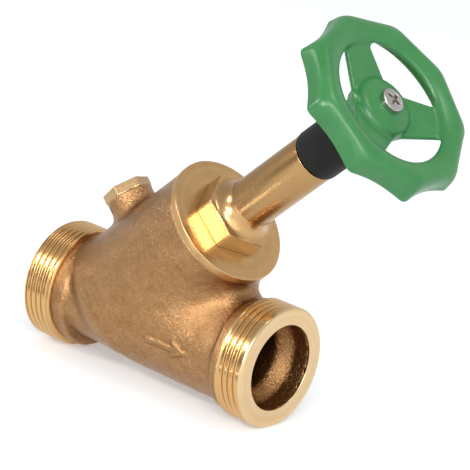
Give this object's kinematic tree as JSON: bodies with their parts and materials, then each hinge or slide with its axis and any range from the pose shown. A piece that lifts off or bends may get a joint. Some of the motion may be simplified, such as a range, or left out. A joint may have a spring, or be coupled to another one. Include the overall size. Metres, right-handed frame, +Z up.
{
  "type": "globe valve",
  "caption": "Oblique globe stop valve with a cast bronze body, male threaded ends, a slanted bonnet with a long neck, a drain plug and a lobed green handwheel.",
  "frame": {"origin": "centre of the inlet's end face, on the axis of the run", "axes": "+X along the run in the way of the flow, +Z up, stem leaning 45 degrees from +Z towards +X in the XZ plane"},
  "size_m": [0.1489, 0.0648, 0.1437],
  "materials": {
    "cast_bronze": "sand cast, matt",
    "turned_bronze": "turned, polished",
    "brass": "turned",
    "steel": "satin",
    "black_plastic": "matt",
    "slip_plastic": "matt",
    "seal_rubber": "matt",
    "green_paint": "semi-gloss"
  },
  "bodies": {
    "body": {"valve_body": "cast_bronze", "seat_ring": "steel", "bonnet": "turned_bronze", "bonnet_seal": "seal_rubber", "lower_thrust_washer": "slip_plastic", "gland_bush": "brass", "wiper_ring": "seal_rubber", "drain_plug": "turned_bronze", "drain_plug_seal": "seal_rubber"},
    "wheel": {"stem": "brass", "lower_stem_seal": "seal_rubber", "upper_stem_seal": "seal_rubber", "upper_thrust_washer": "slip_plastic", "retaining_ring": "steel", "spacer_sleeve": "black_plastic", "handwheel": "green_paint", "handwheel_screw": "steel"},
    "disc": {"disc_carrier": "brass", "disc_plate": "brass", "seat_washer": "seal_rubber", "washer_screw": "steel"}
  },
  "joints": [
    {"name": "handwheel_turn", "type": "hinge", "parent": "body", "child": "wheel", "pos_m": [0.02705, 0, 0], "axis": [0.7071, 0, 0.7071], "range_deg": [0, 1320]},
    {"name": "disc_lift", "type": "slide", "parent": "body", "child": "disc", "axis": [0.7071, 0, 0.7071], "range_m": [0, 0.011]}
  ],
  "couplings": [
    {"joint": "disc_lift", "follows": "handwheel_turn", "m_per_rad": 0.00047746}
  ]
}
